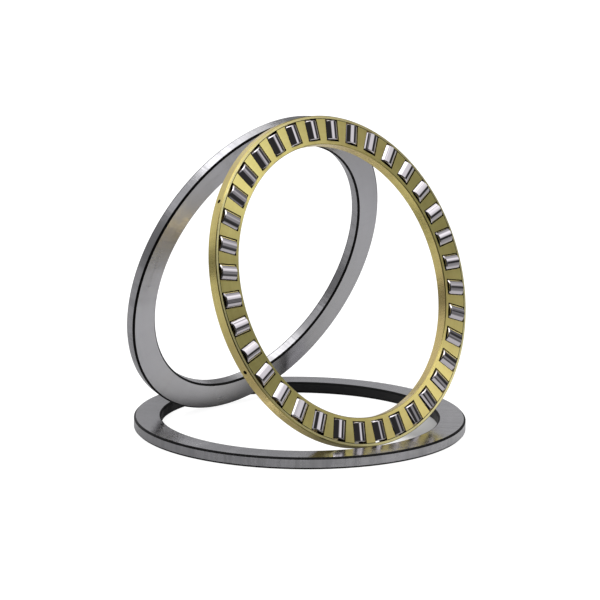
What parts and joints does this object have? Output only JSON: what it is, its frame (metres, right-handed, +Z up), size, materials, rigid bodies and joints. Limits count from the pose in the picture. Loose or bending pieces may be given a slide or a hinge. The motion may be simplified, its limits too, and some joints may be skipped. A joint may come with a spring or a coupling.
{
  "type": "cylindrical roller thrust bearing",
  "caption": "Cylindrical roller thrust bearing set out in pieces: flat housing washer, leaning shaft washer and leaning brass cage with rollers in radial pockets.",
  "frame": {"origin": "on the housing washer's axis, at its flat seat face, which is the surface that everything stands on", "axes": "+Z up along the housing washer's axis; the shaft washer and the cage face -Y, the cage in front"},
  "size_m": [0.4999, 0.5, 0.4722],
  "materials": {
    "washer_steel": "ground",
    "cage_brass": "machined",
    "band_brass": "turned",
    "pin_brass": "plain",
    "roller_steel": "polished"
  },
  "bodies": {
    "housing": {"housing_washer": "washer_steel"},
    "shaft": {"shaft_washer": "washer_steel"},
    "cage": {"cage_ring": "cage_brass", "retaining_band": "band_brass", "cage_pin_1": "pin_brass", "cage_pin_2": "pin_brass", "cage_pin_3": "pin_brass", "cage_pin_4": "pin_brass", "cage_pin_5": "pin_brass", "cage_pin_6": "pin_brass"},
    "roller_01": {"roller_01": "roller_steel"},
    "roller_02": {"roller_02": "roller_steel"},
    "roller_03": {"roller_03": "roller_steel"},
    "roller_04": {"roller_04": "roller_steel"},
    "roller_05": {"roller_05": "roller_steel"},
    "roller_06": {"roller_06": "roller_steel"},
    "roller_07": {"roller_07": "roller_steel"},
    "roller_08": {"roller_08": "roller_steel"},
    "roller_09": {"roller_09": "roller_steel"},
    "roller_10": {"roller_10": "roller_steel"},
    "roller_11": {"roller_11": "roller_steel"},
    "roller_12": {"roller_12": "roller_steel"},
    "roller_13": {"roller_13": "roller_steel"},
    "roller_14": {"roller_14": "roller_steel"},
    "roller_15": {"roller_15": "roller_steel"},
    "roller_16": {"roller_16": "roller_steel"},
    "roller_17": {"roller_17": "roller_steel"},
    "roller_18": {"roller_18": "roller_steel"},
    "roller_19": {"roller_19": "roller_steel"},
    "roller_20": {"roller_20": "roller_steel"},
    "roller_21": {"roller_21": "roller_steel"},
    "roller_22": {"roller_22": "roller_steel"},
    "roller_23": {"roller_23": "roller_steel"},
    "roller_24": {"roller_24": "roller_steel"},
    "roller_25": {"roller_25": "roller_steel"},
    "roller_26": {"roller_26": "roller_steel"},
    "roller_27": {"roller_27": "roller_steel"},
    "roller_28": {"roller_28": "roller_steel"},
    "roller_29": {"roller_29": "roller_steel"},
    "roller_30": {"roller_30": "roller_steel"},
    "roller_31": {"roller_31": "roller_steel"},
    "roller_32": {"roller_32": "roller_steel"},
    "roller_33": {"roller_33": "roller_steel"},
    "roller_34": {"roller_34": "roller_steel"},
    "roller_35": {"roller_35": "roller_steel"},
    "roller_36": {"roller_36": "roller_steel"}
  },
  "joints": [
    {"name": "shaft_washer_spin", "type": "hinge", "parent": "housing", "child": "shaft", "pos_m": [0, 0.09792, 0.23431], "axis": [-0.0082, 0.9426, 0.3338], "continuous": true},
    {"name": "cage_spin", "type": "hinge", "parent": "housing", "child": "cage", "pos_m": [0, -0.084, 0.23609], "axis": [0.0148, 0.9425, -0.3338], "continuous": true},
    {"name": "roller_01_spin", "type": "hinge", "parent": "cage", "child": "roller_01", "pos_m": [-0.03653, -0.009, 0.44624], "axis": [-0.1616, 0.3317, 0.9294], "continuous": true},
    {"name": "roller_02_spin", "type": "hinge", "parent": "cage", "child": "roller_02", "pos_m": [-0.07472, -0.01172, 0.43688], "axis": [-0.3305, 0.3197, 0.888], "continuous": true},
    {"name": "roller_03_spin", "type": "hinge", "parent": "cage", "child": "roller_03", "pos_m": [-0.11064, -0.01663, 0.42141], "axis": [-0.4893, 0.298, 0.8196], "continuous": true},
    {"name": "roller_04_spin", "type": "hinge", "parent": "cage", "child": "roller_04", "pos_m": [-0.14319, -0.02359, 0.40031], "axis": [-0.6333, 0.2672, 0.7263], "continuous": true},
    {"name": "roller_05_spin", "type": "hinge", "parent": "cage", "child": "roller_05", "pos_m": [-0.17139, -0.03238, 0.37423], "axis": [-0.758, 0.2283, 0.6109], "continuous": true},
    {"name": "roller_06_spin", "type": "hinge", "parent": "cage", "child": "roller_06", "pos_m": [-0.19439, -0.04275, 0.34395], "axis": [-0.8598, 0.1824, 0.477], "continuous": true},
    {"name": "roller_07_spin", "type": "hinge", "parent": "cage", "child": "roller_07", "pos_m": [-0.21148, -0.05437, 0.31039], "axis": [-0.9353, 0.1311, 0.3286], "continuous": true},
    {"name": "roller_08_spin", "type": "hinge", "parent": "cage", "child": "roller_08", "pos_m": [-0.22214, -0.06688, 0.27457], "axis": [-0.9825, 0.0757, 0.1702], "continuous": true},
    {"name": "roller_09_spin", "type": "hinge", "parent": "cage", "child": "roller_09", "pos_m": [-0.22606, -0.07992, 0.23758], "axis": [-0.9998, 0.018, 0.0066], "continuous": true},
    {"name": "roller_10_spin", "type": "hinge", "parent": "cage", "child": "roller_10", "pos_m": [-0.2231, -0.09308, 0.20055], "axis": [-0.9867, -0.0402, -0.1572], "continuous": true},
    {"name": "roller_11_spin", "type": "hinge", "parent": "cage", "child": "roller_11", "pos_m": [-0.21337, -0.10597, 0.1646], "axis": [-0.9437, -0.0972, -0.3162], "continuous": true},
    {"name": "roller_12_spin", "type": "hinge", "parent": "cage", "child": "roller_12", "pos_m": [-0.19715, -0.11819, 0.13082], "axis": [-0.872, -0.1512, -0.4656], "continuous": true},
    {"name": "roller_13_spin", "type": "hinge", "parent": "cage", "child": "roller_13", "pos_m": [-0.17495, -0.12937, 0.10024], "axis": [-0.7738, -0.2006, -0.6009], "continuous": true},
    {"name": "roller_14_spin", "type": "hinge", "parent": "cage", "child": "roller_14", "pos_m": [-0.14743, -0.13917, 0.07379], "axis": [-0.652, -0.244, -0.7179], "continuous": true},
    {"name": "roller_15_spin", "type": "hinge", "parent": "cage", "child": "roller_15", "pos_m": [-0.11542, -0.14729, 0.05226], "axis": [-0.5105, -0.2799, -0.813], "continuous": true},
    {"name": "roller_16_spin", "type": "hinge", "parent": "cage", "child": "roller_16", "pos_m": [-0.07991, -0.15349, 0.03633], "axis": [-0.3534, -0.3074, -0.8835], "continuous": true},
    {"name": "roller_17_spin", "type": "hinge", "parent": "cage", "child": "roller_17", "pos_m": [-0.04198, -0.15758, 0.02646], "axis": [-0.1857, -0.3254, -0.9272], "continuous": true},
    {"name": "roller_18_spin", "type": "hinge", "parent": "cage", "child": "roller_18", "pos_m": [-0.00276, -0.15944, 0.02297], "axis": [-0.0122, -0.3336, -0.9426], "continuous": true},
    {"name": "roller_19_spin", "type": "hinge", "parent": "cage", "child": "roller_19", "pos_m": [0.03653, -0.159, 0.02595], "axis": [0.1616, -0.3317, -0.9294], "continuous": true},
    {"name": "roller_20_spin", "type": "hinge", "parent": "cage", "child": "roller_20", "pos_m": [0.07472, -0.15628, 0.03531], "axis": [0.3305, -0.3197, -0.888], "continuous": true},
    {"name": "roller_21_spin", "type": "hinge", "parent": "cage", "child": "roller_21", "pos_m": [0.11064, -0.15137, 0.05078], "axis": [0.4893, -0.298, -0.8196], "continuous": true},
    {"name": "roller_22_spin", "type": "hinge", "parent": "cage", "child": "roller_22", "pos_m": [0.14319, -0.14441, 0.07187], "axis": [0.6333, -0.2672, -0.7263], "continuous": true},
    {"name": "roller_23_spin", "type": "hinge", "parent": "cage", "child": "roller_23", "pos_m": [0.17139, -0.13562, 0.09796], "axis": [0.758, -0.2283, -0.6109], "continuous": true},
    {"name": "roller_24_spin", "type": "hinge", "parent": "cage", "child": "roller_24", "pos_m": [0.19439, -0.12525, 0.12824], "axis": [0.8598, -0.1824, -0.477], "continuous": true},
    {"name": "roller_25_spin", "type": "hinge", "parent": "cage", "child": "roller_25", "pos_m": [0.21148, -0.11363, 0.1618], "axis": [0.9353, -0.1311, -0.3286], "continuous": true},
    {"name": "roller_26_spin", "type": "hinge", "parent": "cage", "child": "roller_26", "pos_m": [0.22214, -0.10112, 0.19762], "axis": [0.9825, -0.0757, -0.1702], "continuous": true},
    {"name": "roller_27_spin", "type": "hinge", "parent": "cage", "child": "roller_27", "pos_m": [0.22606, -0.08808, 0.23461], "axis": [0.9998, -0.018, -0.0066], "continuous": true},
    {"name": "roller_28_spin", "type": "hinge", "parent": "cage", "child": "roller_28", "pos_m": [0.2231, -0.07492, 0.27164], "axis": [0.9867, 0.0402, 0.1572], "continuous": true},
    {"name": "roller_29_spin", "type": "hinge", "parent": "cage", "child": "roller_29", "pos_m": [0.21337, -0.06203, 0.30759], "axis": [0.9437, 0.0972, 0.3162], "continuous": true},
    {"name": "roller_30_spin", "type": "hinge", "parent": "cage", "child": "roller_30", "pos_m": [0.19715, -0.04981, 0.34137], "axis": [0.872, 0.1512, 0.4656], "continuous": true},
    {"name": "roller_31_spin", "type": "hinge", "parent": "cage", "child": "roller_31", "pos_m": [0.17495, -0.03863, 0.37195], "axis": [0.7738, 0.2006, 0.6009], "continuous": true},
    {"name": "roller_32_spin", "type": "hinge", "parent": "cage", "child": "roller_32", "pos_m": [0.14743, -0.02883, 0.3984], "axis": [0.652, 0.244, 0.7179], "continuous": true},
    {"name": "roller_33_spin", "type": "hinge", "parent": "cage", "child": "roller_33", "pos_m": [0.11542, -0.02071, 0.41992], "axis": [0.5105, 0.2799, 0.813], "continuous": true},
    {"name": "roller_34_spin", "type": "hinge", "parent": "cage", "child": "roller_34", "pos_m": [0.07991, -0.01451, 0.43586], "axis": [0.3534, 0.3074, 0.8835], "continuous": true},
    {"name": "roller_35_spin", "type": "hinge", "parent": "cage", "child": "roller_35", "pos_m": [0.04198, -0.01042, 0.44572], "axis": [0.1857, 0.3254, 0.9272], "continuous": true},
    {"name": "roller_36_spin", "type": "hinge", "parent": "cage", "child": "roller_36", "pos_m": [0.00276, -0.00856, 0.44922], "axis": [0.0122, 0.3336, 0.9426], "continuous": true}
  ],
  "couplings": [
    {"joint": "cage_spin", "follows": "shaft_washer_spin", "ratio": 0.5},
    {"joint": "roller_01_spin", "follows": "shaft_washer_spin", "ratio": -8.2218},
    {"joint": "roller_02_spin", "follows": "shaft_washer_spin", "ratio": -8.2218},
    {"joint": "roller_03_spin", "follows": "shaft_washer_spin", "ratio": -8.2218},
    {"joint": "roller_04_spin", "follows": "shaft_washer_spin", "ratio": -8.2218},
    {"joint": "roller_05_spin", "follows": "shaft_washer_spin", "ratio": -8.2218},
    {"joint": "roller_06_spin", "follows": "shaft_washer_spin", "ratio": -8.2218},
    {"joint": "roller_07_spin", "follows": "shaft_washer_spin", "ratio": -8.2218},
    {"joint": "roller_08_spin", "follows": "shaft_washer_spin", "ratio": -8.2218},
    {"joint": "roller_09_spin", "follows": "shaft_washer_spin", "ratio": -8.2218},
    {"joint": "roller_10_spin", "follows": "shaft_washer_spin", "ratio": -8.2218},
    {"joint": "roller_11_spin", "follows": "shaft_washer_spin", "ratio": -8.2218},
    {"joint": "roller_12_spin", "follows": "shaft_washer_spin", "ratio": -8.2218},
    {"joint": "roller_13_spin", "follows": "shaft_washer_spin", "ratio": -8.2218},
    {"joint": "roller_14_spin", "follows": "shaft_washer_spin", "ratio": -8.2218},
    {"joint": "roller_15_spin", "follows": "shaft_washer_spin", "ratio": -8.2218},
    {"joint": "roller_16_spin", "follows": "shaft_washer_spin", "ratio": -8.2218},
    {"joint": "roller_17_spin", "follows": "shaft_washer_spin", "ratio": -8.2218},
    {"joint": "roller_18_spin", "follows": "shaft_washer_spin", "ratio": -8.2218},
    {"joint": "roller_19_spin", "follows": "shaft_washer_spin", "ratio": -8.2218},
    {"joint": "roller_20_spin", "follows": "shaft_washer_spin", "ratio": -8.2218},
    {"joint": "roller_21_spin", "follows": "shaft_washer_spin", "ratio": -8.2218},
    {"joint": "roller_22_spin", "follows": "shaft_washer_spin", "ratio": -8.2218},
    {"joint": "roller_23_spin", "follows": "shaft_washer_spin", "ratio": -8.2218},
    {"joint": "roller_24_spin", "follows": "shaft_washer_spin", "ratio": -8.2218},
    {"joint": "roller_25_spin", "follows": "shaft_washer_spin", "ratio": -8.2218},
    {"joint": "roller_26_spin", "follows": "shaft_washer_spin", "ratio": -8.2218},
    {"joint": "roller_27_spin", "follows": "shaft_washer_spin", "ratio": -8.2218},
    {"joint": "roller_28_spin", "follows": "shaft_washer_spin", "ratio": -8.2218},
    {"joint": "roller_29_spin", "follows": "shaft_washer_spin", "ratio": -8.2218},
    {"joint": "roller_30_spin", "follows": "shaft_washer_spin", "ratio": -8.2218},
    {"joint": "roller_31_spin", "follows": "shaft_washer_spin", "ratio": -8.2218},
    {"joint": "roller_32_spin", "follows": "shaft_washer_spin", "ratio": -8.2218},
    {"joint": "roller_33_spin", "follows": "shaft_washer_spin", "ratio": -8.2218},
    {"joint": "roller_34_spin", "follows": "shaft_washer_spin", "ratio": -8.2218},
    {"joint": "roller_35_spin", "follows": "shaft_washer_spin", "ratio": -8.2218},
    {"joint": "roller_36_spin", "follows": "shaft_washer_spin", "ratio": -8.2218}
  ]
}
